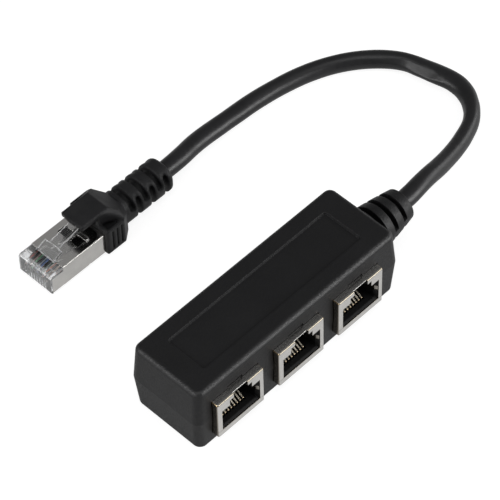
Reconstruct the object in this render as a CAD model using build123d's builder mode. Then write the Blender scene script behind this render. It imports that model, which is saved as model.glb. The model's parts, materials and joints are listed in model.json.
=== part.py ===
"""Network splitter adapter: a moulded box with three shielded sockets, a short cable and a shielded plug.

Millimetres. The origin is the centre of the box's underside. +X runs along the box towards the
cable, -Y is the face with the sockets, and +Z is up.
"""

import os
from math import pi, radians, tan

from build123d import *

os.makedirs("parts", exist_ok=True)

# Housing: one moulding, widest at its parting line
housing_length = 71.3
housing_width = 23.5
housing_height = 22.0
housing_top_length = 69.3
housing_top_width = 22.55
housing_bottom_length = 69.6
housing_bottom_width = 22.25
parting_height = 10.8
housing_corner_radius = 2.2
top_edge_radius = 1.5
bottom_edge_radius = 0.8

# Bare panel sunk into the top face
panel_length = 55.4
panel_width = 12.5
panel_depth = 0.5
panel_draft = 30.0
panel_corner_radius = 0.9

# Strain relief moulded on the housing's right end
relief_length = 13.3
relief_height = 11.3
relief_root_radius = 6.8
relief_tip_radius = 4.6
relief_tip_rounding = 1.3
relief_bulge = 0.2
relief_root_depth = 1.5
relief_core_radius = 3.3
relief_slot_width = 1.45
relief_slot_pitch = 3.85
relief_first_slot = 2.0
relief_slot_count = 3
relief_spine_height = 1.7

# Cable and its eight wires
cable_diameter = 5.1
cable_clearance = 0.1
wire_diameter = 0.8
wire_count = 8
wire_bundle_pitch = 1.1
wire_passage_radius = 2.35
cable_grip_length = 7.9

# Sockets
contact_count = 8
contact_pitch = 1.02
jack_count = 3
jack_pitch = 21.2
jack_row_centre = -1.5
jack_width = 15.9
jack_height = 12.65
jack_depth = 16.0
jack_proud = 1.825
jack_pocket_gap = 0.15
shield_thickness = 0.3
shield_bend_radius = 0.45
shield_hem = 2.2
shield_window_width = 13.0
shield_window_floor = 1.8
shield_window_height = 7.5
shield_step_width = 7.6
shield_step_height = 1.85
shield_notch_width = 4.85
finger_thickness = 0.25
finger_height = 1.4
finger_floor = 5.0
finger_reach = 3.4
finger_bend = 0.6
finger_slot_gap = 0.15

# Insulator inside each shield
insulator_gap = 0.05
cavity_width = 11.9
cavity_floor = 2.15
cavity_height = 6.9
cavity_depth = 11.4
latch_wall = 2.1
latch_step_width = 7.4
latch_step_height = 1.9
latch_room_height = 2.9
latch_room_depth = 8.0
mouth_bevel_depth = 0.9
mouth_bevel_angle = 28.0
mouth_inset = 0.05
peg_diameter = 3.0
peg_spacing = 11.4
peg_depth_back = 8.6
peg_length = 1.35
peg_clearance = 0.05

# Spring contacts
contact_width = 0.42
contact_thickness = 0.3
contact_slot_width = 0.62
contact_fold_back = 3.0
contact_fold_height = 1.05
contact_run_height = 0.9
contact_fold_radius = 0.45
contact_slope = 31.0
contact_slot_front = 0.6
contact_tip_back = 12.0
contact_pin_radius = 0.3
pin_row_front = 12.5
pin_row_back = 14.6
pin_hole_diameter = 0.9
pin_end_height = 2.35

# Insert that keeps the contacts' tips apart
insert_gap = 0.05
comb_slot_floor = 2.6
comb_slot_height = 3.8
comb_slot_depth = 1.9

# Circuit board
board_length = 62.0
board_width = 19.2
board_thickness = 1.6
board_bottom = 2.25
board_back_edge = 9.4
board_gap = 0.05

# Dent in the housing above each latch notch
dent_width = 5.2
dent_height = 1.0
dent_depth = 0.6
dent_corner_radius = 0.5

# Room behind the sockets for the wire ends
wire_room_front = 2.7
wire_room_back = 8.7
wire_room_left = 1.5
wire_room_right = 34.2
wire_room_above = 1.8
wire_turn_width = 2.6
wire_turn_below = 1.4
wire_turn_left = 28.2
wire_turn_margin = 0.4
wire_first_row = 3.6
wire_row_pitch = 1.2
wire_first_pad = 24.0
wire_pad_pitch = 2.2
wire_bend_radius = 1.0

# Plug: nose at its left end, latch up
nose_x = -26.8
plug_y = 55.7
plug_bottom = 0.45
plug_width = 11.7
plug_height = 6.95
plug_length = 21.4
nose_length = 4.5
nose_height = 6.45
nose_chamfer = 0.5
plug_shell_thickness = 0.2
plug_shell_setback = 0.3
plug_shell_bend_radius = 0.3
side_sheet_start = 0.6
side_sheet_drop = 1.4
plug_fit = 0.02
plug_slot_width = 0.5
front_slot_depth = 1.0
front_slot_height = 4.45
blade_thickness = 0.36
blade_start = 1.3
blade_length = 4.4
blade_floor = 0.45
blade_height = 2.35
blade_end_gap = 0.1
blade_top_gap = 0.05
wire_hole_diameter = 0.9
wire_low_row = 3.4
wire_row_step = 1.0
wire_start = 1.5
wire_end_gap = 0.1
plug_room_start = 8.0
plug_room_width = 9.8
plug_room_floor = 2.05
plug_room_height = 3.9
bar_start = 8.3
bar_length = 3.0
bar_gap = 0.05

# Plug shell's stamped windows and seam notch
window_length = 2.7
window_width = 3.0
window_start = 11.7
window_centre = 2.25
seam_notch_start = 13.2
seam_notch_length = 0.6
seam_notch_height = 0.45

# Plug latch
latch_width = 6.2
latch_arm_width = 3.4
latch_thickness = 0.85
latch_root = 0.9
latch_shoulder = 7.0
latch_shoulder_height = 8.6
latch_arm_end = 17.4
latch_tip_height = 10.75
latch_edge_radius = 0.15

# Boot over the back of the plug, with places along it measured from its front edge
boot_overlap = 2.25
boot_length = 26.15
boot_grip_length = 3.5
boot_width = 14.0
boot_side_height = 9.2
boot_hood_width = 7.8
boot_hood_height = 13.4
boot_hood_shoulder = 0.3
hood_reach = 5.95
hood_thickness = 1.1
hood_front_bow = 0.5
hood_flare_middle = 3.15
hood_flare_half_width = 4.8
hood_lip = 0.35
hood_lip_width = 0.8
hood_slope_start = 3.45
hood_slope_end = 9.25
boot_taper_start = 5.95
boot_taper_end = 9.35
boot_taper_inset = 0.3
boot_corner_cut = 2.0
boot_corner_rise = 2.7
boot_corner_radius = 0.8
boot_front_radius = 0.3
boot_fit = 0.05
boot_rim = 0.8
boot_side_bar = 0.6
boot_pocket_length = 3.9
boot_pocket_floor = 7.9
boot_latch_room_depth = 3.4
boot_latch_room_width = 5.2
boot_inner_end = 7.85
grip_slot_count = 3
grip_slot_pitch = 1.55
grip_slot_first = 1.85
grip_slot_width = 0.6
grip_slot_depth = 0.5
grip_slot_floor = 1.5
grip_slot_height = 6.6

# Boot's flexible strain relief
flex_width = 9.3
flex_height = 9.2
flex_centre = 4.75
flex_corner_radius = 3.9
flex_tip_rounding = 1.1
flex_core_radius = 3.2
flex_slot_pitch = 4.9
flex_slot_count = 3
flex_top_first = 11.35
flex_top_slot_width = 1.9
flex_lower_slot_width = 1.75
flex_top_slot_floor = 5.4
flex_lower_slot_top = 8.4

# Cable route between the two strain reliefs, as points on the cable's axis
cable_first_run = 10.0
cable_last_run = 9.0
cable_end_height = 4.75
cable_middle_points = [
    (61.5, 1.6, 10.3),
    (72.0, 3.9, 7.2),
    (82.4, 6.6, 4.0),
    (91.2, 12.0, 2.6),
    (95.7, 21.1, 2.6),
    (94.55, 31.2, 2.6),
    (90.4, 40.1, 2.6),
    (83.4, 47.4, 2.6),
    (72.8, 53.1, 2.6),
    (59.1, 56.4, 2.6),
    (45.5, 57.4, 2.6),
    (34.0, 57.4, 3.5),
]

# Places worked out from the sizes above
board_top = board_bottom + board_thickness
jack_floor = board_top
jack_face = -(housing_width / 2 + jack_proud)
jack_back = jack_face + jack_depth
relief_start = housing_length / 2
relief_end = relief_start + relief_length
relief_root_x = relief_start - relief_root_depth
relief_middle_radius = (relief_root_radius + relief_tip_radius) / 2 + relief_bulge
wire_room_top = relief_height + wire_room_above
wire_turn_floor = relief_height - wire_turn_below
cable_radius = cable_diameter / 2
passage_end = relief_end - cable_grip_length
plug_top = plug_bottom + plug_height
boot_front = nose_x + plug_length - boot_overlap
cable_end_x = boot_front + boot_length - boot_grip_length
jack_centres = [jack_row_centre + (i - (jack_count - 1) / 2) * jack_pitch for i in range(jack_count)]
contact_offsets = [(i - (contact_count - 1) / 2) * contact_pitch for i in range(contact_count)]
cable_route = [
    (passage_end, 0, relief_height),
    (passage_end + cable_first_run, 0, relief_height),
    *cable_middle_points,
    (cable_end_x + cable_last_run, plug_y, cable_end_height),
    (cable_end_x, plug_y, cable_end_height),
]


def block(x_span, y_span, z_span, mode=Mode.ADD):
    """A box between two limits along each axis, joined to or cut from the part being built."""
    size = [span[1] - span[0] for span in (x_span, y_span, z_span)]
    middle = [(span[0] + span[1]) / 2 for span in (x_span, y_span, z_span)]
    with Locations(Vector(*middle)):
        Box(*size, mode=mode)


def make_relief_slots():
    """Half rings to cut from the housing's strain relief, which keep its core and two spines."""
    with BuildPart() as slots:
        for i in range(relief_slot_count):
            slot_x = relief_start + relief_first_slot + i * relief_slot_pitch
            with BuildSketch(Plane.YZ.offset(slot_x - relief_slot_width / 2)):
                with Locations((0, relief_height)):
                    Circle(relief_root_radius + 1)
                    Circle(relief_core_radius, mode=Mode.SUBTRACT)
                    Rectangle(3 * relief_root_radius, relief_spine_height, mode=Mode.SUBTRACT)
            extrude(amount=relief_slot_width)
    return slots.part


def make_housing():
    """The moulded body with its strain relief, socket pockets and inner rooms."""
    relief_slots = make_relief_slots()
    rooms = make_housing_rooms()
    with BuildPart() as housing:
        for end_height, end_length, end_width in (
            (housing_height, housing_top_length, housing_top_width),
            (0, housing_bottom_length, housing_bottom_width),
        ):
            with BuildSketch(Plane.XY.offset(parting_height)):
                RectangleRounded(housing_length, housing_width, housing_corner_radius)
            with BuildSketch(Plane.XY.offset(end_height)):
                RectangleRounded(end_length, end_width, housing_corner_radius)
            loft(ruled=True)
        fillet(housing.edges().group_by(Axis.Z)[-1], top_edge_radius)
        fillet(housing.edges().group_by(Axis.Z)[0], bottom_edge_radius)

        with BuildSketch(Plane.XY.offset(housing_height)):
            RectangleRounded(panel_length, panel_width, panel_corner_radius)
        extrude(amount=-panel_depth, taper=panel_draft, mode=Mode.SUBTRACT)

        with BuildSketch(Plane.XZ):
            with BuildLine():
                relief_side = ThreePointArc(
                    (relief_root_x, relief_height + relief_root_radius),
                    ((relief_root_x + relief_end) / 2, relief_height + relief_middle_radius),
                    (relief_end, relief_height + relief_tip_radius),
                )
                Polyline(
                    relief_side @ 1,
                    (relief_end, relief_height),
                    (relief_root_x, relief_height),
                    relief_side @ 0,
                )
            face = make_face()
            fillet(face.vertices().group_by(Axis.X)[-1].sort_by(Axis.Z)[-1], relief_tip_rounding)
        revolve(axis=Axis((0, 0, relief_height), (1, 0, 0)))
        add(relief_slots, mode=Mode.SUBTRACT)
        add(rooms, mode=Mode.SUBTRACT)
    return housing.part


def make_housing_rooms():
    """Everything hollow in the housing: socket pockets, board slot, wire room and cable bore."""
    pocket_top = jack_floor + jack_height + jack_pocket_gap
    half_pocket = jack_width / 2 + jack_pocket_gap
    with BuildPart() as rooms:
        for centre in jack_centres:
            block(
                (centre - half_pocket, centre + half_pocket),
                (jack_face - 1, jack_back + jack_pocket_gap),
                (jack_floor, pocket_top),
            )
        block(
            (-board_length / 2 - board_gap, board_length / 2 + board_gap),
            (board_back_edge - board_width - board_gap, board_back_edge + board_gap),
            (board_bottom, board_top),
        )
        block(
            (wire_room_left, wire_room_right),
            (wire_room_front, wire_room_back),
            (board_top, wire_room_top),
        )
        block(
            (wire_turn_left, wire_room_right),
            (-wire_turn_width, wire_room_back),
            (wire_turn_floor, wire_room_top),
        )
        with BuildSketch(Plane.XZ.offset(housing_width / 2 - dent_depth)):
            with Locations(*[(centre, pocket_top) for centre in jack_centres]):
                RectangleRounded(dent_width, 2 * dent_height, dent_corner_radius)
        extrude(amount=dent_depth + 1)
        with BuildSketch(Plane.YZ.offset(wire_room_right - 1)):
            with Locations((0, relief_height)):
                Circle(wire_passage_radius)
        extrude(amount=passage_end - wire_room_right + 1)
        with BuildSketch(Plane.YZ.offset(passage_end)):
            with Locations((0, relief_height)):
                Circle(cable_radius + cable_clearance)
        extrude(amount=cable_grip_length + 1)
    return rooms.part


def make_board():
    """The circuit board, with holes for each socket's pins and pegs."""
    with BuildPart() as board:
        block(
            (-board_length / 2, board_length / 2),
            (board_back_edge - board_width, board_back_edge),
            (board_bottom, board_top),
        )
        for centre in jack_centres:
            for i, offset in enumerate(contact_offsets):
                pin_y = jack_face + (pin_row_front if i % 2 else pin_row_back)
                with Locations((centre + offset, pin_y, board_top)):
                    Hole(pin_hole_diameter / 2, depth=board_thickness)
            with Locations(*peg_places(centre)):
                Hole(peg_diameter / 2 + peg_clearance, depth=board_thickness)
    return board.part


def peg_places(centre):
    """Where a socket's two pegs stand on the board."""
    peg_y = jack_face + peg_depth_back
    return [(centre + side * peg_spacing / 2, peg_y, board_top) for side in (-1, 1)]


def make_jack_shield(centre):
    """The folded metal cover of one socket, with its stepped window and side springs."""
    half_width = jack_width / 2
    top = jack_floor + jack_height
    springs = make_side_springs(centre)
    with BuildPart() as shield:
        with BuildSketch(Plane.XZ.offset(-jack_face)):
            with Locations((centre, jack_floor + jack_height / 2)):
                Rectangle(jack_width, jack_height)
        extrude(amount=-jack_depth)
        front_bends = shield.edges().group_by(Axis.Y)[0].sort_by(Axis.Z)[1:]
        top_bends = shield.edges().filter_by(Axis.Y).group_by(Axis.Z)[-1]
        fillet(front_bends + top_bends, shield_bend_radius)
        block(
            (centre - half_width + shield_thickness, centre + half_width - shield_thickness),
            (jack_face + shield_thickness, jack_back - shield_thickness),
            (jack_floor + shield_thickness, top - shield_thickness),
            mode=Mode.SUBTRACT,
        )
        block(
            (centre - half_width + shield_thickness, centre + half_width - shield_thickness),
            (jack_face + shield_hem, jack_back - shield_thickness),
            (jack_floor - 1, jack_floor + 2 * shield_thickness),
            mode=Mode.SUBTRACT,
        )
        with BuildSketch(Plane.XZ.offset(-jack_face)):
            shield_window(centre)
        extrude(amount=-2 * shield_thickness, mode=Mode.SUBTRACT)
        block(
            (centre - shield_notch_width / 2, centre + shield_notch_width / 2),
            (jack_face - 1, jack_face + shield_bend_radius),
            (top - 2 * shield_thickness, top + 1),
            mode=Mode.SUBTRACT,
        )
        add(springs)
    return shield.part


def shield_window(centre):
    """The stepped outline that the plug and its latch pass through, drawn in the open sketch."""
    floor = jack_floor + shield_window_floor
    step_floor = floor + shield_window_height
    notch_floor = step_floor + shield_step_height
    notch_top = jack_floor + jack_height - shield_thickness
    with Locations((centre, floor + shield_window_height / 2)):
        Rectangle(shield_window_width, shield_window_height)
    with Locations((centre, step_floor + shield_step_height / 2)):
        Rectangle(shield_step_width, shield_step_height)
    with Locations((centre, (notch_floor + notch_top) / 2)):
        Rectangle(shield_notch_width, notch_top - notch_floor)


def make_side_springs(centre):
    """The two grounding springs folded in from the window's sides."""
    root = shield_window_width / 2 + finger_thickness
    bend = root - finger_bend
    tip = bend + finger_bend / 2
    with BuildPart() as springs:
        for side in (-1, 1):
            with BuildSketch(Plane.XY.offset(jack_floor + finger_floor)):
                with BuildLine() as spring_path:
                    Polyline(
                        (centre + side * root, jack_face + shield_thickness / 2),
                        (centre + side * bend, jack_face + finger_reach / 3),
                        (centre + side * bend, jack_face + 3 * finger_reach / 4),
                        (centre + side * tip, jack_face + finger_reach),
                    )
                trace(spring_path.line, finger_thickness)
            extrude(amount=finger_height)
    return springs.part


def make_jack_insulator(centre):
    """The black moulding inside the shield: plug cavity, latch room and contact slots."""
    half_width = jack_width / 2 - shield_thickness - insulator_gap
    front = jack_face + shield_thickness + insulator_gap
    back = jack_back - shield_thickness - insulator_gap
    top = jack_floor + jack_height - shield_thickness - insulator_gap
    floor = jack_floor + cavity_floor
    ceiling = floor + cavity_height
    with BuildPart() as insulator:
        block(
            (centre - half_width, centre + half_width),
            (front, back),
            (jack_floor + shield_thickness + insulator_gap, top),
        )
        block(
            (centre - half_width, centre + half_width),
            (jack_face + shield_hem + insulator_gap, back),
            (jack_floor, jack_floor + cavity_floor / 2),
        )
        with Locations(*peg_places(centre)):
            Cylinder(peg_diameter / 2, peg_length, align=(Align.CENTER, Align.CENTER, Align.MAX))

        block(
            (centre - cavity_width / 2, centre + cavity_width / 2),
            (front - 1, back + 1),
            (floor, ceiling),
            mode=Mode.SUBTRACT,
        )
        block(
            (centre - latch_step_width / 2, centre + latch_step_width / 2),
            (front - 1, jack_face + latch_room_depth),
            (ceiling - 1, ceiling + latch_step_height),
            mode=Mode.SUBTRACT,
        )
        block(
            (centre - shield_notch_width / 2, centre + shield_notch_width / 2),
            (front - 1, jack_face + latch_wall + 1),
            (ceiling, top + 1),
            mode=Mode.SUBTRACT,
        )
        block(
            (centre - latch_step_width / 2, centre + latch_step_width / 2),
            (jack_face + latch_wall, jack_face + latch_room_depth),
            (ceiling, ceiling + latch_room_height),
            mode=Mode.SUBTRACT,
        )
        with BuildSketch(Plane.XZ.offset(-front)):
            with Locations((centre, jack_floor + shield_window_floor + shield_window_height / 2)):
                Rectangle(shield_window_width - 2 * mouth_inset, shield_window_height - 2 * mouth_inset)
        extrude(amount=-mouth_bevel_depth, taper=mouth_bevel_angle, mode=Mode.SUBTRACT)

        spring_floor = jack_floor + finger_floor - finger_slot_gap
        block(
            (centre - half_width - 1, centre + half_width + 1),
            (front - 1, jack_face + finger_reach + 1),
            (spring_floor, spring_floor + finger_height + 2 * finger_slot_gap),
            mode=Mode.SUBTRACT,
        )
        slot_floor = jack_floor + contact_run_height - contact_slot_width / 2
        for offset in contact_offsets:
            middle = centre + offset
            block(
                (middle - contact_slot_width / 2, middle + contact_slot_width / 2),
                (jack_face + contact_fold_back - contact_slot_front, back + 1),
                (slot_floor, floor + 1),
                mode=Mode.SUBTRACT,
            )
            block(
                (middle - contact_slot_width / 2, middle + contact_slot_width / 2),
                (jack_face + pin_row_front - contact_slot_width, back + 1),
                (jack_floor - 1, floor),
                mode=Mode.SUBTRACT,
            )
    return insulator.part


def make_jack_contacts(centre):
    """Eight bent spring wires: a pin, a run under the floor, a fold and a rising spring."""
    run_z = jack_floor + contact_run_height
    fold_y = jack_face + contact_fold_back
    fold_z = run_z + contact_fold_height
    tip_y = jack_face + contact_tip_back
    tip_z = fold_z + (tip_y - fold_y) * tan(radians(contact_slope))
    with BuildPart() as contacts:
        for i, offset in enumerate(contact_offsets):
            pin_y = jack_face + (pin_row_front if i % 2 else pin_row_back)
            with BuildSketch(Plane.YZ.offset(centre + offset - contact_width / 2)):
                with BuildLine() as spring:
                    FilletPolyline(
                        (pin_y, pin_end_height),
                        (pin_y, run_z),
                        (fold_y, run_z),
                        (fold_y, fold_z),
                        (tip_y, tip_z),
                        radius=[contact_pin_radius, contact_fold_radius, contact_fold_radius],
                    )
                trace(spring.line, contact_thickness)
            extrude(amount=contact_width)
    return contacts.part


def make_jack_insert(centre):
    """The block behind the cavity, whose comb keeps the contacts' tips apart."""
    half_width = cavity_width / 2 - insert_gap
    floor = jack_floor + cavity_floor + insert_gap
    ceiling = jack_floor + cavity_floor + cavity_height - insert_gap
    front = jack_face + cavity_depth
    comb_floor = floor + comb_slot_floor
    with BuildPart() as insert:
        block(
            (centre - half_width, centre + half_width),
            (front, jack_back - shield_thickness - insulator_gap),
            (floor, ceiling),
        )
        for offset in contact_offsets:
            middle = centre + offset
            block(
                (middle - contact_slot_width / 2, middle + contact_slot_width / 2),
                (front - 1, front + comb_slot_depth),
                (comb_floor, comb_floor + comb_slot_height),
                mode=Mode.SUBTRACT,
            )
    return insert.part


def bundle_place(i):
    """Where wire i lies in the cable's bundle, two rows of four, as offsets across and up."""
    column = i // 2
    row = i % 2
    columns = wire_count / 2
    return (column - (columns - 1) / 2) * wire_bundle_pitch, (row - 0.5) * wire_bundle_pitch


def make_board_wire(i):
    """One wire from the cable's end to its pad on the board."""
    across, up = bundle_place(i)
    lane_y = wire_first_row + (i // 2) * wire_row_pitch
    lane_z = relief_height + up
    pad_x = wire_first_pad - i % 2 * wire_pad_pitch * wire_count / 2 - (i // 2) * wire_pad_pitch
    with BuildPart() as wire:
        with BuildLine():
            FilletPolyline(
                (passage_end, across, lane_z),
                (wire_room_right, across, lane_z),
                (wire_turn_left - wire_turn_margin, lane_y, lane_z),
                (pad_x, lane_y, lane_z),
                (pad_x, lane_y, board_top),
                radius=wire_bend_radius,
            )
        with BuildSketch(Plane((passage_end, across, lane_z), z_dir=(-1, 0, 0))):
            Circle(wire_diameter / 2)
        sweep()
    return wire.part


def make_plug_wire(i):
    """One wire from its blade in the plug's nose back to the cable's end in the boot."""
    across, up = bundle_place(i)
    start_y = plug_y + contact_offsets[i]
    start_z = plug_bottom + wire_low_row + i % 2 * wire_row_step
    with BuildPart() as wire:
        with BuildLine():
            FilletPolyline(
                (nose_x + wire_start, start_y, start_z),
                (nose_x + plug_length - 1, start_y, start_z),
                (boot_front + boot_inner_end + 1, plug_y + across, cable_end_height + up),
                (cable_end_x, plug_y + across, cable_end_height + up),
                radius=wire_bend_radius,
            )
        with BuildSketch(Plane((nose_x + wire_start, start_y, start_z), z_dir=(1, 0, 0))):
            Circle(wire_diameter / 2)
        sweep()
    return wire.part


def make_plug_body():
    """The clear body: nose with contact slots, wire holes, rear room and moulded latch."""
    inner_width = plug_width - 2 * plug_shell_thickness - 2 * plug_fit
    inner_floor = plug_bottom + plug_shell_thickness + plug_fit
    inner_top = plug_top - plug_shell_thickness - plug_fit
    latch = make_latch()
    with BuildPart() as body:
        block(
            (nose_x, nose_x + nose_length),
            (plug_y - plug_width / 2, plug_y + plug_width / 2),
            (plug_bottom, plug_bottom + nose_height),
        )
        chamfer(body.edges().filter_by(Axis.Y).group_by(Axis.X)[0], nose_chamfer)
        for side in (-1, 1):
            sheet_y = plug_y + side * plug_width / 2
            block(
                (nose_x + side_sheet_start - plug_fit, nose_x + nose_length + 1),
                (sheet_y - plug_shell_thickness - plug_fit, sheet_y + plug_shell_thickness + plug_fit),
                (plug_bottom - 1, plug_top - side_sheet_drop + plug_fit),
                mode=Mode.SUBTRACT,
            )
        block(
            (nose_x + nose_length / 2, nose_x + plug_length),
            (plug_y - inner_width / 2, plug_y + inner_width / 2),
            (inner_floor, inner_top),
        )
        block(
            (nose_x + plug_room_start, nose_x + plug_length + 1),
            (plug_y - plug_room_width / 2, plug_y + plug_room_width / 2),
            (plug_bottom + plug_room_floor, plug_bottom + plug_room_floor + plug_room_height),
            mode=Mode.SUBTRACT,
        )
        for i, offset in enumerate(contact_offsets):
            middle = plug_y + offset
            block(
                (nose_x - 1, nose_x + front_slot_depth),
                (middle - plug_slot_width / 2, middle + plug_slot_width / 2),
                (plug_bottom - 1, plug_bottom + front_slot_height),
                mode=Mode.SUBTRACT,
            )
            block(
                (nose_x - 1, nose_x + blade_start + blade_length + blade_end_gap),
                (middle - plug_slot_width / 2, middle + plug_slot_width / 2),
                (plug_bottom - 1, plug_bottom + blade_floor + blade_height + blade_top_gap),
                mode=Mode.SUBTRACT,
            )
            hole_z = plug_bottom + wire_low_row + i % 2 * wire_row_step
            with BuildSketch(Plane.YZ.offset(nose_x + wire_start - wire_end_gap)):
                with Locations((middle, hole_z)):
                    Circle(wire_hole_diameter / 2)
            extrude(amount=plug_room_start - wire_start + 1, mode=Mode.SUBTRACT)
        add(latch)
    return body.part


def make_latch():
    """The latch: a wide part that rises from the nose, and a narrow arm behind its shoulders."""
    root_z = plug_bottom + nose_height
    shoulder_x = nose_x + latch_shoulder
    arm = make_latch_arm()
    with BuildPart() as latch:
        with BuildSketch(Plane.XZ.offset(-plug_y)):
            with BuildLine():
                Polyline(
                    (nose_x + latch_root, root_z - latch_thickness / 2),
                    (nose_x + latch_root, root_z + latch_thickness / 2),
                    (shoulder_x, latch_shoulder_height + latch_thickness),
                    (shoulder_x, latch_shoulder_height),
                    (nose_x + latch_root + 2 * latch_thickness, root_z - latch_thickness / 2),
                    close=True,
                )
            make_face()
        extrude(amount=latch_width / 2, both=True)
        shoulder_edges = latch.edges().group_by(Axis.X)[-1]
        top_edges = latch.edges().sort_by(SortBy.LENGTH)[-2:]
        fillet(shoulder_edges + top_edges, latch_edge_radius)
        add(arm)
    return latch.part


def make_latch_arm():
    """The narrow arm, with its four long edges rounded."""
    root_x = nose_x + latch_shoulder - 1
    with BuildPart() as arm:
        with BuildSketch(Plane.XZ.offset(-plug_y)):
            with BuildLine():
                Polyline(
                    (root_x, latch_shoulder_height - latch_thickness / 4),
                    (root_x, latch_shoulder_height + latch_thickness / 2),
                    (nose_x + latch_arm_end, latch_tip_height + latch_thickness),
                    (nose_x + latch_arm_end, latch_tip_height),
                    close=True,
                )
            make_face()
        extrude(amount=latch_arm_width / 2, both=True)
        fillet(arm.edges().sort_by(SortBy.LENGTH)[-4:], latch_edge_radius)
    return arm.part


def make_plug_shell():
    """The folded metal cover around the plug's body."""
    inner_width = plug_width - 2 * plug_shell_thickness
    with BuildPart() as shell:
        block(
            (nose_x + nose_length, nose_x + plug_length - plug_shell_setback),
            (plug_y - plug_width / 2, plug_y + plug_width / 2),
            (plug_bottom, plug_top),
        )
        fillet(shell.edges().filter_by(Axis.X), plug_shell_bend_radius)
        block(
            (nose_x, nose_x + plug_length),
            (plug_y - inner_width / 2, plug_y + inner_width / 2),
            (plug_bottom + plug_shell_thickness, plug_top - plug_shell_thickness),
            mode=Mode.SUBTRACT,
        )
        for side in (-1, 1):
            middle = plug_y + side * window_centre
            block(
                (nose_x + window_start, nose_x + window_start + window_length),
                (middle - window_width / 2, middle + window_width / 2),
                (plug_top - 2 * plug_shell_thickness, plug_top + 1),
                mode=Mode.SUBTRACT,
            )
            edge = plug_y + side * plug_width / 2
            sheet_middle = edge - side * plug_shell_thickness / 2
            block(
                (nose_x + side_sheet_start, nose_x + nose_length + 1),
                (sheet_middle - plug_shell_thickness / 2, sheet_middle + plug_shell_thickness / 2),
                (plug_bottom + plug_shell_bend_radius, plug_top - side_sheet_drop),
            )
            block(
                (nose_x + seam_notch_start, nose_x + seam_notch_start + seam_notch_length),
                (edge - 2 * plug_shell_thickness, edge + 2 * plug_shell_thickness),
                (plug_bottom - 1, plug_bottom + seam_notch_height),
                mode=Mode.SUBTRACT,
            )
    return shell.part


def make_plug_blades():
    """Eight upright contact blades in the nose's slots."""
    floor = plug_bottom + blade_floor
    with BuildPart() as blades:
        for offset in contact_offsets:
            with BuildSketch(Plane.XZ.offset(-plug_y - offset - blade_thickness / 2)):
                with Locations((nose_x + blade_start + blade_length / 2, floor + blade_height / 2)):
                    RectangleRounded(blade_length, blade_height, blade_thickness)
            extrude(amount=blade_thickness)
    return blades.part


def make_plug_bar():
    """The guide bar that lines the wires up behind the blades."""
    floor = plug_bottom + plug_room_floor + bar_gap
    with BuildPart() as bar:
        block(
            (nose_x + bar_start, nose_x + bar_start + bar_length),
            (plug_y - plug_room_width / 2 + bar_gap, plug_y + plug_room_width / 2 - bar_gap),
            (floor, floor + plug_room_height - 2 * bar_gap),
        )
        for i, offset in enumerate(contact_offsets):
            hole_z = plug_bottom + wire_low_row + i % 2 * wire_row_step
            with BuildSketch(Plane.YZ.offset(nose_x + bar_start - 0.5)):
                with Locations((plug_y + offset, hole_z)):
                    Circle(wire_hole_diameter / 2)
            extrude(amount=bar_length + 1, mode=Mode.SUBTRACT)
    return bar.part


def make_boot():
    """The boot: sleeve with grips, hood over the latch, and slotted strain relief."""
    slopes = make_boot_slopes()
    rooms = make_boot_rooms()
    hood = make_hood()
    flex = make_flex_relief()
    half_width = boot_width / 2
    half_hood = boot_hood_width / 2
    shoulder_z = boot_hood_height - boot_hood_shoulder
    flat_half = half_hood - boot_hood_shoulder
    with BuildPart() as boot:
        with BuildSketch(Plane.YZ.offset(boot_front)):
            with Locations((plug_y, 0)):
                Polygon(
                    (-half_width, 0),
                    (half_width, 0),
                    (half_width, boot_side_height),
                    (half_hood, shoulder_z),
                    (flat_half, boot_hood_height),
                    (-flat_half, boot_hood_height),
                    (-half_hood, shoulder_z),
                    (-half_width, boot_side_height),
                    align=None,
                )
        extrude(amount=boot_taper_end)
        fillet(boot.edges().filter_by(Axis.X).group_by(Axis.Z)[0], boot_corner_radius)
        add(slopes, mode=Mode.SUBTRACT)
        fillet(boot.edges().filter_by(Axis.Z).group_by(Axis.X)[0], boot_front_radius)
        add(hood)
        add(flex)
        add(rooms, mode=Mode.SUBTRACT)
        cut_boot_grips()
    return boot.part


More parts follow.
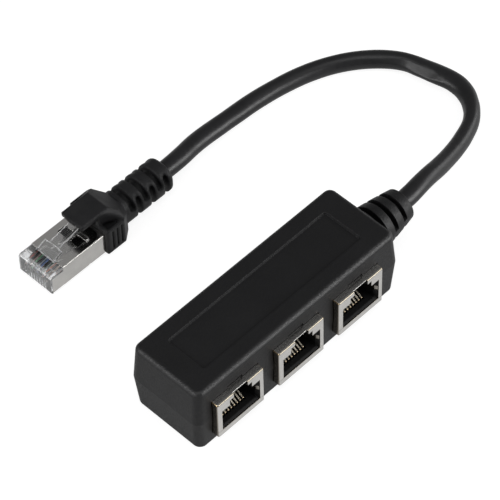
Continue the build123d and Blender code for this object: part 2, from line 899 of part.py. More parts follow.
def make_boot_slopes():
    """What is cut away for the hood's slope and flare, and for the sides' taper to the cable."""
    above = boot_hood_height + 1
    half_width = boot_width / 2
    relief_top = flex_centre + flex_height / 2 - boot_taper_inset
    relief_side = flex_width / 2 - boot_taper_inset
    with BuildPart() as slopes:
        with BuildSketch(Plane.XZ.offset(-plug_y)):
            with BuildLine():
                Polyline(
                    (boot_front + hood_slope_start, boot_hood_height),
                    (boot_front + hood_slope_start, above),
                    (boot_front + boot_taper_end + 1, above),
                    (boot_front + boot_taper_end + 1, relief_top),
                    (boot_front + hood_slope_end, relief_top),
                    close=True,
                )
            make_face()
        extrude(amount=boot_width, both=True)
        with BuildSketch():
            for side in (-1, 1):
                with BuildLine():
                    Polyline(
                        (boot_front + boot_taper_start, plug_y + side * half_width),
                        (boot_front + boot_taper_start, plug_y + side * boot_width),
                        (boot_front + boot_taper_end + 1, plug_y + side * boot_width),
                        (boot_front + boot_taper_end + 1, plug_y + side * relief_side),
                        (boot_front + boot_taper_end, plug_y + side * relief_side),
                        close=True,
                    )
                make_face()
        extrude(amount=above)
        with BuildSketch(Plane.XY.offset(boot_side_height)):
            for side in (-1, 1):
                with BuildLine():
                    flare = ThreePointArc(
                        (boot_front, plug_y + side * boot_hood_width / 2),
                        (boot_front + hood_flare_middle, plug_y + side * hood_flare_half_width),
                        (boot_front + boot_taper_start, plug_y + side * half_width),
                    )
                    Polyline(
                        flare @ 1,
                        (boot_front + boot_taper_start, plug_y + side * boot_width),
                        (boot_front - 1, plug_y + side * boot_width),
                        (boot_front - 1, plug_y + side * boot_hood_width / 2),
                        flare @ 0,
                    )
                make_face()
        extrude(amount=above)
        for side in (-1, 1):
            with BuildSketch(Plane.YZ.offset(boot_front + boot_taper_end)):
                with Locations((plug_y, 0)):
                    Polygon(
                        (side * (relief_side - boot_corner_cut), relief_top),
                        (side * relief_side, relief_top - boot_corner_cut),
                        (side * boot_width, relief_top - boot_corner_cut),
                        (side * boot_width, above),
                        (side * (relief_side - boot_corner_cut), above),
                        align=None,
                    )
            towards_hood = Vector(
                boot_taper_start - boot_taper_end,
                side * (half_width - relief_side),
                boot_corner_rise,
            )
            extrude(amount=towards_hood.length, dir=towards_hood)
    return slopes.part


def make_hood():
    """The hood that reaches forward over the latch, with a thin lip along each side."""
    half_hood = boot_hood_width / 2
    shoulder_z = boot_hood_height - boot_hood_shoulder
    flat_half = half_hood - boot_hood_shoulder
    under = boot_hood_height - hood_thickness
    with BuildPart() as hood:
        with BuildSketch(Plane.YZ.offset(boot_front - hood_reach)):
            with Locations((plug_y, 0)):
                Polygon(
                    (-half_hood, under - hood_lip),
                    (-half_hood, shoulder_z),
                    (-flat_half, boot_hood_height),
                    (flat_half, boot_hood_height),
                    (half_hood, shoulder_z),
                    (half_hood, under - hood_lip),
                    (half_hood - hood_lip_width, under - hood_lip),
                    (half_hood - hood_lip_width, under),
                    (hood_lip_width - half_hood, under),
                    (hood_lip_width - half_hood, under - hood_lip),
                    align=None,
                )
        extrude(amount=hood_reach + 1)
        with BuildSketch():
            with BuildLine():
                front = ThreePointArc(
                    (boot_front - hood_reach + hood_front_bow, plug_y - half_hood),
                    (boot_front - hood_reach, plug_y),
                    (boot_front - hood_reach + hood_front_bow, plug_y + half_hood),
                )
                Polyline(
                    front @ 1,
                    (boot_front + 1, plug_y + half_hood),
                    (boot_front + 1, plug_y - half_hood),
                    front @ 0,
                )
            make_face()
        extrude(amount=boot_hood_height, mode=Mode.INTERSECT)
    return hood.part


def make_flex_relief():
    """The round-cornered strain relief, slotted from above and from below in turn."""
    start_x = boot_front + boot_taper_end - boot_taper_inset
    slots = make_flex_slots()
    with BuildPart() as flex:
        with BuildSketch(Plane.YZ.offset(start_x)):
            with Locations((plug_y, flex_centre)):
                RectangleRounded(flex_width, flex_height, flex_corner_radius)
        extrude(amount=boot_front + boot_length - start_x)
        fillet(flex.edges().group_by(Axis.X)[-1], flex_tip_rounding)
        add(slots, mode=Mode.SUBTRACT)
    return flex.part


def make_flex_slots():
    """The strain relief's slots, with rounded ends, which leave its core whole."""
    slot_length = 2 * flex_height
    with BuildPart() as slots:
        with BuildSketch(Plane.XZ.offset(-plug_y)):
            for i in range(flex_slot_count):
                slot_x = boot_front + flex_top_first + i * flex_slot_pitch
                with Locations((slot_x, flex_top_slot_floor + slot_length / 2)):
                    SlotOverall(slot_length, flex_top_slot_width, rotation=90)
                with Locations((slot_x + flex_slot_pitch / 2, flex_lower_slot_top - slot_length / 2)):
                    SlotOverall(slot_length, flex_lower_slot_width, rotation=90)
        extrude(amount=flex_width, both=True)
        with BuildSketch(Plane.YZ.offset(boot_front + boot_taper_start)):
            with Locations((plug_y, flex_centre)):
                Circle(flex_core_radius)
        extrude(amount=boot_length - boot_taper_start, mode=Mode.SUBTRACT)
    return slots.part


def make_boot_rooms():
    """Everything hollow in the boot: plug seat, latch room, pocket behind the rim, wire room, bore."""
    half_plug = plug_width / 2 + boot_fit
    with BuildPart() as rooms:
        block(
            (boot_front - 1, nose_x + plug_length + boot_fit),
            (plug_y - half_plug, plug_y + half_plug),
            (plug_bottom - boot_fit, plug_top + boot_fit),
        )
        block(
            (boot_front - 1, boot_front + boot_latch_room_depth),
            (plug_y - boot_latch_room_width / 2, plug_y + boot_latch_room_width / 2),
            (boot_side_height, boot_hood_height - hood_thickness),
        )
        block(
            (nose_x + plug_length - 1, boot_front + boot_inner_end),
            (plug_y - plug_room_width / 2, plug_y + plug_room_width / 2),
            (plug_bottom + plug_room_floor, plug_bottom + plug_room_floor + plug_room_height),
        )
        block(
            (boot_front + boot_rim, boot_front + boot_rim + boot_pocket_length),
            (plug_y - boot_width / 2 + boot_side_bar, plug_y + boot_width / 2 - boot_side_bar),
            (boot_pocket_floor, boot_side_height),
        )
        with BuildSketch(Plane.YZ.offset(boot_front + boot_inner_end - 1)):
            with Locations((plug_y, cable_end_height)):
                Circle(wire_passage_radius)
        extrude(amount=cable_end_x - boot_front - boot_inner_end + 1)
        with BuildSketch(Plane.YZ.offset(cable_end_x)):
            with Locations((plug_y, cable_end_height)):
                Circle(cable_radius + cable_clearance)
        extrude(amount=boot_grip_length + 1)
    return rooms.part


def cut_boot_grips():
    """The upright slots in both side grips, cut from the boot being built."""
    for side in (-1, 1):
        edge = plug_y + side * boot_width / 2
        for i in range(grip_slot_count):
            slot_x = boot_front + grip_slot_first + i * grip_slot_pitch
            block(
                (slot_x - grip_slot_width / 2, slot_x + grip_slot_width / 2),
                (edge - grip_slot_depth, edge + grip_slot_depth),
                (grip_slot_floor, grip_slot_floor + grip_slot_height),
                mode=Mode.SUBTRACT,
            )


def cable_radii(route):
    """For each corner of the route, the largest arc that its two runs allow."""
    points = [Vector(*point) for point in route]
    radii = []
    for before, corner, after in zip(points, points[1:], points[2:]):
        run_in = corner - before
        run_out = after - corner
        half_turn = radians(run_in.get_angle(run_out)) / 2
        radii.append(0.45 * min(run_in.length, run_out.length) / tan(half_turn))
    return radii


def make_cable():
    """The cable's jacket as one plain tube along straight runs joined by tangent arcs."""
    radii = cable_radii(cable_route)
    print("cable bend radii", [round(radius, 1) for radius in radii])
    first_run = Vector(*cable_route[1]) - Vector(*cable_route[0])
    with BuildPart() as cable:
        with BuildLine() as path:
            FilletPolyline(*cable_route, radius=radii)
        with BuildSketch(Plane(cable_route[0], z_dir=first_run)):
            Circle(cable_radius)
        sweep()
    length = path.wire().length
    print("cable length", round(length, 1), "volume", round(cable.part.volume, 1))
    print("section times length", round(pi * cable_radius**2 * length, 1))
    return cable.part


housing = make_housing()
housing.label = "housing"
export_step(housing, "parts/housing.step")

circuit_board = make_board()
circuit_board.label = "circuit_board"
export_step(circuit_board, "parts/circuit_board.step")

jack_makers = {
    "shield": make_jack_shield,
    "insulator": make_jack_insulator,
    "contacts": make_jack_contacts,
    "insert": make_jack_insert,
}
for number, jack_centre in enumerate(jack_centres, start=1):
    for piece_name, make_piece in jack_makers.items():
        jack_piece = make_piece(jack_centre)
        jack_piece.label = f"jack_{number}_{piece_name}"
        export_step(jack_piece, f"parts/{jack_piece.label}.step")

for number in range(wire_count):
    board_wire = make_board_wire(number)
    board_wire.label = f"board_wire_{number + 1}"
    export_step(board_wire, f"parts/{board_wire.label}.step")
    plug_wire = make_plug_wire(number)
    plug_wire.label = f"plug_wire_{number + 1}"
    export_step(plug_wire, f"parts/{plug_wire.label}.step")

plug_makers = {
    "plug_body": make_plug_body,
    "plug_shell": make_plug_shell,
    "plug_blades": make_plug_blades,
    "plug_guide_bar": make_plug_bar,
    "plug_boot": make_boot,
    "cable": make_cable,
}
for piece_name, make_piece in plug_makers.items():
    plug_piece = make_piece()
    plug_piece.label = piece_name
    export_step(plug_piece, f"parts/{piece_name}.step")
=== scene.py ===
"""Network splitter adapter: materials, cable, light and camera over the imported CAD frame."""
import json
import math

import bpy
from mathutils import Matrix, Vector


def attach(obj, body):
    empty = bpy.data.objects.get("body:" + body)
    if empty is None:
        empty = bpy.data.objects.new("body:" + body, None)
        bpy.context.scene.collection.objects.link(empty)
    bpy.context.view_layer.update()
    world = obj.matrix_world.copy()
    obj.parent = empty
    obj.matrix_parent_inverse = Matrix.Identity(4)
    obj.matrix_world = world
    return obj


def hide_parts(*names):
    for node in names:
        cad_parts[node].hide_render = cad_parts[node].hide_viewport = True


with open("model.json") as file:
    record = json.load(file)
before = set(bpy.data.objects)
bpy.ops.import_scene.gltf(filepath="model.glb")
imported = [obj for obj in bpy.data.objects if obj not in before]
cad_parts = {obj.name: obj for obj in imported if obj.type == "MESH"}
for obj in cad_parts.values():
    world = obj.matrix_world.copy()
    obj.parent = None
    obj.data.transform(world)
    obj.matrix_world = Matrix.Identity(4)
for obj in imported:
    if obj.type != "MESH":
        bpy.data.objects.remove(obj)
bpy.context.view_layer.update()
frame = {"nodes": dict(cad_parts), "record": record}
nodes = frame["nodes"]
scene = bpy.context.scene


def make_camera():
    """The photograph's view: a long lens from the front left, 51 degrees above the floor."""
    data = bpy.data.cameras.new("camera")
    data.sensor_width = 36.0
    data.lens = 211.47
    data.clip_end = 20.0
    camera = bpy.data.objects.new("camera", data)
    camera.location = (-0.310435, -0.312674, 0.587087)
    camera.rotation_euler = [math.radians(a) for a in (38.6907, 1.12375, -45.73955)]
    scene.collection.objects.link(camera)
    scene.camera = camera


make_camera()

CABLE_DIAMETER = 0.0051
CABLE_SIDES = 48
# The spline's control points, from inside the housing's strain relief to inside the plug's boot.
CABLE_ROUTE = [
    (0.0410, 0.0, 0.0113),
    (0.0510, 0.0, 0.0113),
    (0.0604, 0.0017, 0.0102),
    (0.0686, 0.0033, 0.0072),
    (0.0797, 0.0064, 0.0040),
    (0.0903, 0.0108, 0.0026),
    (0.0962, 0.0201, 0.0026),
    (0.0937, 0.0310, 0.0026),
    (0.0914, 0.0392, 0.0026),
    (0.0829, 0.0479, 0.0026),
    (0.0712, 0.0538, 0.0026),
    (0.0562, 0.0568, 0.0026),
    (0.0441, 0.0574, 0.0026),
    (0.0327, 0.0575, 0.0035),
    (0.0240, 0.0557, 0.00475),
    (0.0150, 0.0557, 0.00475),
]
# How wide the flattened jacket is at distances along it, both in millimetres.
CABLE_WIDTHS = [
    (0, 5.10), (8, 5.10), (11, 5.35), (15, 5.22), (20, 5.05), (29, 4.85), (40, 4.80), (46, 4.50),
    (52, 4.50), (56, 4.80), (60, 5.25), (64, 5.70), (71, 6.00), (75, 5.70), (79, 4.92), (88, 5.07),
    (102, 4.87), (114, 5.05), (130, 5.25), (142, 5.40), (152, 5.35), (159, 5.15), (170, 5.10),
]
# How strongly the jacket loses height where it is wider.
CABLE_FLATTENING = 0.7
# Flats pressed into the jacket: place along it in metres, how far each fades before and after,
# direction round it in radians, and depth as a share of the radius.
CABLE_FLATS = [
    (0.0712, 0.0022, 0.0095, 2.46, 0.19),
    (0.0676, 0.0009, 0.0012, 2.46, 0.05),
    (0.0950, 0.0100, 0.0080, 2.60, 0.05),
]
# How far a flat's place shifts along the cable towards its two sides.
FLAT_SLANT = 0.0010
# Slight waves in the jacket's width: share of the width, radians per metre, and start in radians.
CABLE_WAVES = [(0.010, 310.0, 0.0), (0.006, 730.0, 1.0)]
# The length at each end that has no waves, and the length over which they grow.
WAVE_EASE = 0.012
FLOOR_CLEARANCE = 0.00005


def cable_line():
    """Points read along the smooth spline that the route's points control."""
    curve = bpy.data.curves.new("cable_line", "CURVE")
    curve.dimensions = "3D"
    curve.resolution_u = 20
    spline = curve.splines.new("NURBS")
    spline.points.add(len(CABLE_ROUTE) - 1)
    for point, place in zip(spline.points, CABLE_ROUTE):
        point.co = (*place, 1.0)
    spline.order_u = 3
    spline.use_endpoint_u = True
    holder = bpy.data.objects.new("cable_line", curve)
    scene.collection.objects.link(holder)
    mesh = bpy.data.meshes.new_from_object(holder)
    points = [v.co.copy() for v in mesh.vertices]
    bpy.data.meshes.remove(mesh)
    bpy.data.objects.remove(holder)
    bpy.data.curves.remove(curve)
    return points


def smooth_bump(x, centre, width):
    """A soft bump of height 1 round centre."""
    return math.exp(-(((x - centre) / width) ** 2))


def pressed_radius(s, angle):
    """The part of the jacket's radius that the flats leave at s metres along it."""
    reach = 1.0
    for place, before, after, turn, depth in CABLE_FLATS:
        slant = s - FLAT_SLANT * math.sin(angle - turn)
        level = 1.0 - depth * smooth_bump(slant, place, before if slant < place else after)
        facing = math.cos(angle - turn)
        if facing > level:
            reach = min(reach, level / facing)
    return reach


def width_at(s):
    """The jacket's width at s metres along it, smoothly between the listed places."""
    s *= 1000
    for (s1, w1), (s2, w2) in zip(CABLE_WIDTHS, CABLE_WIDTHS[1:]):
        if s <= s2:
            t = max(0.0, (s - s1) / (s2 - s1))
            t = t * t * (3 - 2 * t)
            return (w1 + (w2 - w1) * t) / 1000
    return CABLE_DIAMETER


def wave_at(s, total):
    """How much wider or narrower the waves make the jacket at s metres, as a share; 0 at both ends."""
    ease = min(1.0, max(0.0, (s - WAVE_EASE) / WAVE_EASE))
    ease *= min(1.0, max(0.0, (total - WAVE_EASE - s) / WAVE_EASE))
    return ease * sum(size * math.sin(s * rate + start) for size, rate, start in CABLE_WAVES)


def jacket_ring(point, ahead, s, total):
    """The jacket's vertices round one point of its line, s metres along it."""
    side = ahead.cross(Vector((0, 0, 1))).normalized()
    lift = side.cross(ahead).normalized()
    wide = width_at(s) / 2
    tall = (CABLE_DIAMETER / 2) ** (1 + CABLE_FLATTENING) / wide ** CABLE_FLATTENING
    wave = wave_at(s, total)
    wide *= 1 + wave
    tall *= 1 - 0.5 * wave
    ring = []
    for k in range(CABLE_SIDES):
        angle = 2 * math.pi * k / CABLE_SIDES
        reach = pressed_radius(s, angle)
        ring.append(point + side * wide * reach * math.cos(angle) + lift * tall * reach * math.sin(angle))
    return ring


def jacket_faces(rings):
    """The faces between neighbouring rings, and one at each end."""
    sides = range(CABLE_SIDES)
    faces = []
    for i in range(rings - 1):
        here, there = i * CABLE_SIDES, (i + 1) * CABLE_SIDES
        for k in sides:
            k2 = (k + 1) % CABLE_SIDES
            faces.append((here + k, here + k2, there + k2, there + k))
    faces.append(tuple(sides))
    faces.append(tuple((rings - 1) * CABLE_SIDES + k for k in reversed(sides)))
    return faces


def make_cable():
    """The jacket: round at both ends, flattened and creased where the tight bend presses it."""
    points = cable_line()
    travelled = [0.0]
    for a, b in zip(points, points[1:]):
        travelled.append(travelled[-1] + (b - a).length)
    verts = []
    for i, point in enumerate(points):
        ahead = points[min(i + 1, len(points) - 1)] - points[max(i - 1, 0)]
        ahead.normalize()
        verts += jacket_ring(point, ahead, travelled[i], travelled[-1])
    mesh = bpy.data.meshes.new("cable_jacket")
    mesh.from_pydata([tuple(v) for v in verts], [], jacket_faces(len(points)))
    mesh.update()
    for polygon in mesh.polygons:
        polygon.use_smooth = True
    cable = bpy.data.objects.new("cable_jacket", mesh)
    scene.collection.objects.link(cable)
    for v in mesh.vertices:
        v.co.z = max(v.co.z, FLOOR_CLEARANCE)
    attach(cable, "root")
    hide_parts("cable")
    plug_pieces = ["plug_boot", "plug_body", "plug_shell", "plug_blades", "plug_guide_bar"]
    plug_pieces += [f"plug_wire_{n}" for n in range(1, 9)]
    return cable


cable = make_cable()


class Build:
    """Short calls for a node material: one shader with textures that feed it."""

    def __init__(self, name):
        self.material = bpy.data.materials.new(name)
        self.material.use_nodes = True
        self.tree = self.material.node_tree
        self.shader = next(n for n in self.tree.nodes if n.type == "BSDF_PRINCIPLED")
        self.place = self.add("ShaderNodeTexCoord").outputs["Object"]

    def add(self, kind, **values):
        """A new node with its properties set."""
        node = self.tree.nodes.new(kind)
        for key, value in values.items():
            setattr(node, key, value)
        return node

    def link(self, output, socket):
        """Join a node's output to another node's input."""
        self.tree.links.new(output, socket)

    def set(self, **values):
        """Constants on the shader's own inputs, named with _ for a space."""
        for key, value in values.items():
            self.shader.inputs[key.replace("_", " ")].default_value = value

    def feed(self, **outputs):
        """Outputs joined to the shader's inputs, named with _ for a space."""
        for key, output in outputs.items():
            self.link(output, self.shader.inputs[key.replace("_", " ")])

    def split(self, vector):
        """The X, Y and Z of a vector."""
        node = self.add("ShaderNodeSeparateXYZ")
        self.link(vector, node.inputs[0])
        return node.outputs

    def normal(self):
        """The direction that the surface faces, without bumps."""
        return self.add("ShaderNodeNewGeometry").outputs["Normal"]

    def noise(self, size, detail=3.0, rough=0.55, stretch=None):
        """Noise whose features are about size metres across."""
        node = self.add("ShaderNodeTexNoise")
        node.inputs["Scale"].default_value = 1.0 / size
        node.inputs["Detail"].default_value = detail
        node.inputs["Roughness"].default_value = rough
        source = self.place
        if stretch:
            mapping = self.add("ShaderNodeMapping")
            mapping.inputs["Scale"].default_value = stretch
            self.link(self.place, mapping.inputs["Vector"])
            source = mapping.outputs["Vector"]
        self.link(source, node.inputs["Vector"])
        return node.outputs["Fac"]

    def ramp(self, value, low, high, a=0.3, b=0.7):
        """value from a to b mapped onto low to high."""
        node = self.add("ShaderNodeMapRange")
        node.inputs["From Min"].default_value = a
        node.inputs["From Max"].default_value = b
        node.inputs["To Min"].default_value = low
        node.inputs["To Max"].default_value = high
        self.link(value, node.inputs["Value"])
        return node.outputs["Result"]

    def under(self, value, full, none):
        """1 where value is less than full, fading to 0 at none."""
        return self.ramp(value, 1.0, 0.0, full, none)

    def over(self, value, none, full):
        """0 where value is less than none, rising to 1 at full."""
        return self.ramp(value, 0.0, 1.0, none, full)

    def calc(self, operation, one, two=0.0):
        """A maths node on two outputs or numbers."""
        node = self.add("ShaderNodeMath", operation=operation)
        for socket, value in ((node.inputs[0], one), (node.inputs[1], two)):
            if isinstance(value, float):
                socket.default_value = value
            else:
                self.link(value, socket)
        return node.outputs[0]

    def product(self, first, *others):
        """All the factors multiplied in turn."""
        for factor in others:
            first = self.calc("MULTIPLY", first, factor)
        return first

    def mix(self, fac, one, two):
        """A colour between one and two, by fac."""
        node = self.add("ShaderNodeMix", data_type="RGBA")
        self.link(fac, node.inputs["Factor"])
        for socket, colour in ((node.inputs[6], one), (node.inputs[7], two)):
            if isinstance(colour, tuple):
                socket.default_value = (*colour, 1.0)
            else:
                self.link(colour, socket)
        return node.outputs[2]

    def mottle(self, noise, one, two):
        """A colour that drifts between one and two with a noise."""
        return self.mix(self.ramp(noise, 0.0, 1.0), one, two)

    def bump(self, *layers, edge=None):
        """Bumps stacked on each other; a layer is (height, metres deep), edge a bevel's radius."""
        normal = None
        if edge:
            bevel = self.add("ShaderNodeBevel", samples=BEVEL_SAMPLES)
            bevel.inputs["Radius"].default_value = edge
            normal = bevel.outputs["Normal"]
        for height, depth in layers:
            node = self.add("ShaderNodeBump")
            node.inputs["Distance"].default_value = depth
            self.link(height, node.inputs["Height"])
            if normal is not None:
                self.link(normal, node.inputs["Normal"])
            normal = node.outputs["Normal"]
        self.feed(Normal=normal)


BEVEL_SAMPLES = 6

# Where the materials' masks fade: two places along an axis, in metres. The panel's end and side
# lie a little outside it, so that the height alone picks out its wall.
PANEL_END = (0.0295, 0.0300)
PANEL_SIDE = (0.0075, 0.0080)
PANEL_RIM = (0.02196, 0.02199)
PANEL_FLOOR = (0.021502, 0.021512)
HOUSING_LOWER_PART = (0.0106, 0.0110)
HOUSING_TOP_EDGE = (0.0195, 0.0205)
SHIELD_TOP_FOLD = (0.01615, 0.01632)
SHIELD_SIDE_FOLD = (0.00268, 0.00300)
SHIELD_FRONT_BEND = (-0.01335, -0.01318)
SHIELD_TOP_BEND = (0.01608, 0.01622)
WINDOW_SILL = (0.00004, 0.00007)
CONTACT_FOLD_SHADE = (0.0060, 0.0064)
OPEN_NOSE_REAR = (-0.0218, -0.0208)
PLUG_SHELL_TOP = (0.00735, 0.00750)

# The masks' other places: the gap before the first socket, half the sockets' pitch, the sill's height.
FIRST_SOCKET_GAP = -0.0333
HALF_SOCKET_PITCH = 0.0106
WINDOW_SILL_HEIGHT = 0.00565


def panel_wall(m):
    """1 on the low wall round the sunk top panel, which is duller and carries a paler colour painted to
    lift its shade; 0 elsewhere.
    """
    place = m.split(m.place)
    along = m.under(m.calc("ABSOLUTE", place["X"]), *PANEL_END)
    across = m.under(m.calc("ABSOLUTE", place["Y"]), *PANEL_SIDE)
    below = m.under(place["Z"], *PANEL_RIM)
    above = m.over(place["Z"], *PANEL_FLOOR)
    return m.product(m.product(along, across), m.product(below, above))


def grained_plastic():
    """Spark-eroded black moulding: fine even grain, duller on the panel's wall and low on its left end,
    with a paler colour painted on the panel's wall to lift its shade; glossier where the leaning top edges
    are rubbed."""
    m = Build("housing_plastic")
    grain = m.noise(0.00042, detail=2.0, rough=0.6)
    fine = m.noise(0.00012, detail=1.0)
    patches = m.noise(0.014, detail=4.0)
    black = m.mottle(patches, (0.0062, 0.0062, 0.0067), (0.0088, 0.0088, 0.0094))
    wall = panel_wall(m)
    height = m.split(m.place)["Z"]
    normal = m.split(m.normal())
    low_end = m.product(m.under(height, *HOUSING_LOWER_PART), m.under(normal["X"], -0.95, -0.60), 0.55)
    dull = m.calc("MAXIMUM", wall, low_end)
    leaning = m.product(m.over(normal["Z"], 0.20, 0.40), m.under(normal["Z"], 0.90, 0.98))
    rubbed = m.product(leaning, m.ramp(height, 0.0, 0.19, *HOUSING_TOP_EDGE), m.calc("SUBTRACT", 1.0, wall))
    shine = m.calc("ADD", m.ramp(dull, 0.27, 0.10, 0.0, 1.0), rubbed)
    # The wall's paler colour is painted light that lifts the shade in the panel's groove.
    m.feed(Base_Color=m.mix(wall, black, (0.0110, 0.0110, 0.0116)), Specular_IOR_Level=shine,
           Roughness=m.ramp(grain, 0.38, 0.52))
    m.bump((grain, 0.000100), (fine, 0.000018), edge=0.00030)
    return m.material


def jacket_plastic():
    """Extruded cable jacket: smooth, semi-gloss, with faint scuffs."""
    m = Build("jacket_plastic")
    broad = m.noise(0.006, detail=3.0)
    scuffs = m.noise(0.0011, detail=4.0, rough=0.65)
    fine = m.noise(0.00025, detail=2.0)
    m.feed(Base_Color=m.mottle(broad, (0.0080, 0.0080, 0.0087), (0.0120, 0.0120, 0.0129)),
           Roughness=m.ramp(scuffs, 0.32, 0.42))
    m.set(Specular_IOR_Level=0.38)
    m.bump((broad, 0.00008), (scuffs, 0.000008), (fine, 0.000003))
    return m.material


def boot_plastic():
    """Soft moulded boot: satin black with a very fine grain and faint flow marks."""
    m = Build("boot_plastic")
    broad = m.noise(0.005, detail=3.0)
    grain = m.noise(0.00022, detail=2.0)
    m.feed(Base_Color=m.mottle(broad, (0.0120, 0.0120, 0.0127), (0.0165, 0.0165, 0.0172)),
           Roughness=m.ramp(broad, 0.40, 0.52))
    m.set(Specular_IOR_Level=0.18)
    m.bump((broad, 0.00010), (grain, 0.000012), edge=0.00120)
    return m.material


def inner_plastic(name, tone):
    """Plain black moulding inside the sockets."""
    m = Build(name)
    grain = m.noise(0.0004, detail=2.0)
    m.feed(Base_Color=m.mottle(grain, (tone,) * 3, (tone * 1.5,) * 3), Roughness=m.ramp(grain, 0.45, 0.60))
    m.set(Specular_IOR_Level=0.20)
    m.bump((grain, 0.000010), edge=0.00012)
    return m.material


def bare_folds(m):
    """1 at a socket shield's two upper side folds, where the plating is thin; 0 elsewhere."""
    place = m.split(m.place)
    from_gap = m.calc("PINGPONG", m.calc("ADD", place["X"], -FIRST_SOCKET_GAP), HALF_SOCKET_PITCH)
    return m.product(m.under(from_gap, *SHIELD_SIDE_FOLD), m.over(place["Z"], *SHIELD_TOP_FOLD))


def sill_and_bend_shade(m):
    """1 on the socket shields' cut window sill and upper front bend, where painted shade dims their
    highlights; 0 elsewhere.
    """
    place = m.split(m.place)
    from_sill = m.calc("ABSOLUTE", m.calc("ADD", place["Z"], -WINDOW_SILL_HEIGHT))
    sill = m.under(from_sill, *WINDOW_SILL)
    high = m.over(place["Z"], *SHIELD_TOP_BEND)
    front = m.under(place["Y"], *SHIELD_FRONT_BEND)
    return m.calc("MAXIMUM", sill, m.product(high, front))


def sheet_metal(name, colours, rough, stretch, sockets):
    """Plated sheet with rolled grain and cloudy plating. The sockets' has painted shade where it faces left
    and on its window sill and upper front bend, and is brassy at its folds; the plug's has a painted
    highlight, paler on top."""
    m = Build(name)
    rolled = m.noise(0.00030, detail=5.0, rough=0.7, stretch=stretch)
    cloud = m.noise(0.0035, detail=4.0)
    plated = m.mottle(cloud, *colours)
    normal = m.split(m.normal())
    if sockets:
        # Painted shade: the sheet is darker where it faces left.
        plated = m.mix(m.under(normal["X"], -0.92, -0.60), plated, (0.26, 0.235, 0.20))
        # Painted shade that dims the highlights on the window sill and upper front bend.
        plated = m.mix(sill_and_bend_shade(m), plated, (0.22, 0.195, 0.155))
        plated = m.mix(bare_folds(m), plated, (0.55, 0.36, 0.13))
    else:
        # Painted highlight: the shell is paler where it faces up.
        plated = m.mix(m.over(normal["Z"], 0.80, 0.95), plated, (0.86, 0.845, 0.82))
    m.feed(Base_Color=plated, Roughness=m.ramp(rolled, rough - 0.05, rough + 0.07))
    m.set(Metallic=1.0)
    m.bump((cloud, 0.000030), (rolled, 0.000002), edge=0.00008)
    return m.material


def gold_plate():
    """Gold-plated spring wire with faint drawing marks, with painted shade where it folds under the cavity.
    """
    m = Build("gold_plate")
    drawn = m.noise(0.00020, detail=3.0)
    bright = m.mottle(drawn, (0.80, 0.73, 0.59), (0.90, 0.84, 0.71))
    # Painted shade below the contacts' fold, where they lie under the cavity floor.
    fold_shade = m.under(m.split(m.place)["Z"], *CONTACT_FOLD_SHADE)
    m.feed(Base_Color=m.mix(fold_shade, bright, (0.15, 0.12, 0.08)), Roughness=m.ramp(drawn, 0.20, 0.32))
    m.set(Metallic=1.0)
    m.bump((drawn, 0.000004), edge=0.00010)
    return m.material


def edge_mask(m, radius):
    """0 on flat faces, rising to 1 within radius of an edge."""
    bevel = m.add("ShaderNodeBevel", samples=BEVEL_SAMPLES)
    bevel.inputs["Radius"].default_value = radius
    facing = m.add("ShaderNodeVectorMath", operation="DOT_PRODUCT")
    m.link(bevel.outputs["Normal"], facing.inputs[0])
    m.link(m.normal(), facing.inputs[1])
    return m.under(facing.outputs["Value"], 0.86, 0.97)


def shaded_under_shell(m):
    """1 where the plug's body lies under its shell and gets painted shade; 0 at the nose and on the latch.
    """
    place = m.split(m.place)
    return m.product(m.over(place["X"], *OPEN_NOSE_REAR), m.under(place["Z"], *PLUG_SHELL_TOP))


def clear_plastic(name, colour, rough, clear):
    """Clear moulding with slight waves and specks. Its edges carry a painted highlight, milky on the body
    and white and opaque on the latch, and the latch is clearer than the body."""
    m = Build(name)
    waves = m.noise(0.0020, detail=2.0)
    specks = m.noise(0.00018, detail=2.0)
    # Painted highlight: the edges are made paler and less clear.
    highlight_edges = edge_mask(m, 0.00036)
    latch = m.over(m.split(m.place)["Z"], *PLUG_SHELL_TOP)
    pale_with_highlight = m.mix(highlight_edges, colour, m.mix(latch, (0.70, 0.70, 0.70), (1.0, 1.0, 1.0)))
    face_clear = m.product(m.ramp(latch, clear - 0.12, clear, 0.0, 1.0), m.calc("SUBTRACT", 1.0, highlight_edges))
    edge_clear = m.product(m.ramp(latch, 0.40, 0.0, 0.0, 1.0), highlight_edges)
    m.set(IOR=1.50)
    # Painted shade: the body under the shell is coloured near black.
    m.feed(Base_Color=m.mix(shaded_under_shell(m), pale_with_highlight, (0.02, 0.02, 0.02)),
           Transmission_Weight=m.calc("ADD", face_clear, edge_clear),
           Roughness=m.ramp(specks, rough, rough + 0.08))
    m.bump((waves, 0.00012), (specks, 0.000006), edge=0.00018)
    return m.material


def board_mask():
    """Solder mask over laminate, with a faint weave."""
    m = Build("board_mask")
    weave = m.noise(0.0006, detail=2.0, stretch=(1.0, 3.0, 1.0))
    m.feed(Base_Color=m.mottle(weave, (0.010, 0.075, 0.030), (0.016, 0.110, 0.045)),
           Roughness=m.ramp(weave, 0.28, 0.42))
    m.bump((weave, 0.000010))
    return m.material


def wire_plastic(name, colour):
    """Wire insulation with faint extrusion marks."""
    m = Build(name)
    marks = m.noise(0.0005, detail=3.0)
    dark = tuple(c * 0.8 for c in colour)
    m.feed(Base_Color=m.mottle(marks, dark, colour), Roughness=m.ramp(marks, 0.35, 0.50))
    m.bump((marks, 0.000008))
    return m.material


SHIELD_COLOURS = ((0.68, 0.668, 0.643), (0.76, 0.743, 0.712))
PLUG_SHELL_COLOURS = ((0.60, 0.59, 0.57), (0.67, 0.655, 0.63))
WIRE_COLOURS = {
    "wire_orange_white": (0.80, 0.62, 0.50),
    "wire_orange": (0.70, 0.20, 0.08),
    "wire_green_white": (0.60, 0.74, 0.60),
    "wire_blue": (0.10, 0.20, 0.52),
    "wire_blue_white": (0.55, 0.62, 0.76),
    "wire_green": (0.08, 0.36, 0.13),
    "wire_brown_white": (0.68, 0.52, 0.46),
    "wire_brown": (0.42, 0.08, 0.06),
}

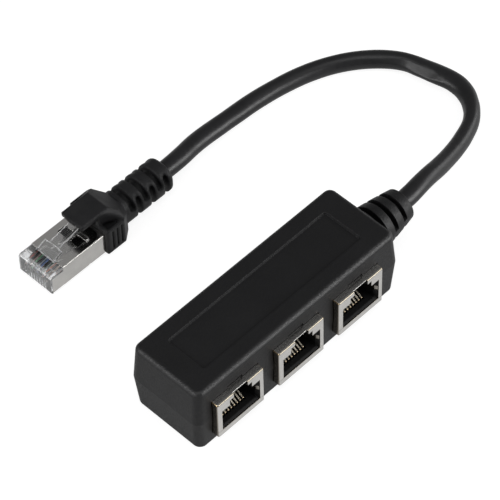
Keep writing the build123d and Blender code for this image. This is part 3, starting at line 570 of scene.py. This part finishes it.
slots = {
    "black_plastic": grained_plastic(),
    "cable_jacket": jacket_plastic(),
    "boot_rubber": boot_plastic(),
    "shield_metal": sheet_metal("shield_metal", SHIELD_COLOURS, 0.24, (1.0, 1.0, 9.0), sockets=True),
    "plug_shell_metal": sheet_metal(
        "plug_shell_metal", PLUG_SHELL_COLOURS, 0.14, (0.12, 1.0, 1.0), sockets=False
    ),
    "insulator_plastic": inner_plastic("insulator_plastic", 0.006),
    "insert_plastic": inner_plastic("insert_plastic", 0.007),
    "contact_gold": gold_plate(),
    "board_laminate": board_mask(),
    "clear_plastic": clear_plastic("clear_plastic", (0.96, 0.97, 0.98), 0.04, 1.00),
    "guide_plastic": clear_plastic("guide_plastic", (0.88, 0.90, 0.88), 0.22, 0.60),
}
for slot_name, colour in WIRE_COLOURS.items():
    slots[slot_name] = wire_plastic(slot_name, colour)

slot_of = {p["node"]: p["material_slot"] for p in frame["record"]["subparts"]}
for node_name, obj in nodes.items():
    material = slots[slot_of[node_name]]
    if not obj.data.materials:
        obj.data.materials.append(material)
    for material_slot in obj.material_slots:
        material_slot.material = material
cable.data.materials.append(slots["cable_jacket"])

# How brightly the floor glows to each kind of ray.
FLOOR_GLOW = (("Is Camera Ray", 0.84), ("Is Transmission Ray", 0.84), ("Is Glossy Ray", 0.40))


def make_floor():
    """A pale floor that shows white to the camera and keeps a soft shadow."""
    mesh = bpy.data.meshes.new("floor")
    mesh.from_pydata([(-4, -4, 0), (4, -4, 0), (4, 4, 0), (-4, 4, 0)], [], [(0, 1, 2, 3)])
    floor = bpy.data.objects.new("floor", mesh)
    scene.collection.objects.link(floor)
    material = bpy.data.materials.new("floor_white")
    material.use_nodes = True
    tree = material.node_tree
    tree.nodes.clear()
    out = tree.nodes.new("ShaderNodeOutputMaterial")
    diffuse = tree.nodes.new("ShaderNodeBsdfDiffuse")
    diffuse.inputs["Color"].default_value = (0.30, 0.30, 0.30, 1)
    glow = tree.nodes.new("ShaderNodeEmission")
    path = tree.nodes.new("ShaderNodeLightPath")
    level = None
    for ray, strength in FLOOR_GLOW:
        scaled = tree.nodes.new("ShaderNodeMath")
        scaled.operation = "MULTIPLY"
        scaled.inputs[1].default_value = strength
        tree.links.new(path.outputs[ray], scaled.inputs[0])
        if level:
            most = tree.nodes.new("ShaderNodeMath")
            most.operation = "MAXIMUM"
            tree.links.new(level, most.inputs[0])
            tree.links.new(scaled.outputs[0], most.inputs[1])
            level = most.outputs[0]
        else:
            level = scaled.outputs[0]
    add = tree.nodes.new("ShaderNodeAddShader")
    tree.links.new(level, glow.inputs["Strength"])
    tree.links.new(diffuse.outputs[0], add.inputs[0])
    tree.links.new(glow.outputs[0], add.inputs[1])
    tree.links.new(add.outputs[0], out.inputs["Surface"])
    floor.data.materials.append(material)


def make_world():
    """White to the camera, a dim even grey for everything else."""
    world = bpy.data.worlds.new("studio")
    scene.world = world
    world.use_nodes = True
    tree = world.node_tree
    tree.nodes.clear()
    out = tree.nodes.new("ShaderNodeOutputWorld")
    path = tree.nodes.new("ShaderNodeLightPath")
    mix = tree.nodes.new("ShaderNodeMixShader")
    tree.links.new(path.outputs["Is Camera Ray"], mix.inputs["Fac"])
    for socket, strength in ((mix.inputs[1], 0.22), (mix.inputs[2], 1.0)):
        background = tree.nodes.new("ShaderNodeBackground")
        background.inputs["Color"].default_value = (1, 1, 1, 1)
        background.inputs["Strength"].default_value = strength
        tree.links.new(background.outputs[0], socket)
    tree.links.new(mix.outputs[0], out.inputs["Surface"])


LAMP_TARGET = (0.02, 0.02, 0.0)


def softbox(name, place, size, power):
    """A rectangular lamp that faces the part."""
    data = bpy.data.lights.new(name, "AREA")
    data.shape = "RECTANGLE"
    data.size, data.size_y = size
    data.energy = power
    lamp = bpy.data.objects.new(name, data)
    lamp.location = place
    lamp.rotation_euler = (Vector(LAMP_TARGET) - Vector(place)).to_track_quat("-Z", "Y").to_euler()
    scene.collection.objects.link(lamp)


make_floor()
make_world()
softbox("right_softbox", (0.66, -0.96, 0.36), (0.8, 0.66), 12.0)
softbox("left_softbox", (-0.94, 0.26, 0.52), (0.9, 0.5), 7.0)
softbox("side_softbox", (1.08, -0.36, 0.26), (0.6, 0.45), 2.6)
softbox("top_softbox", (-0.15, -0.25, 1.20), (0.8, 0.8), 3.4)

scene.view_settings.view_transform = "Standard"
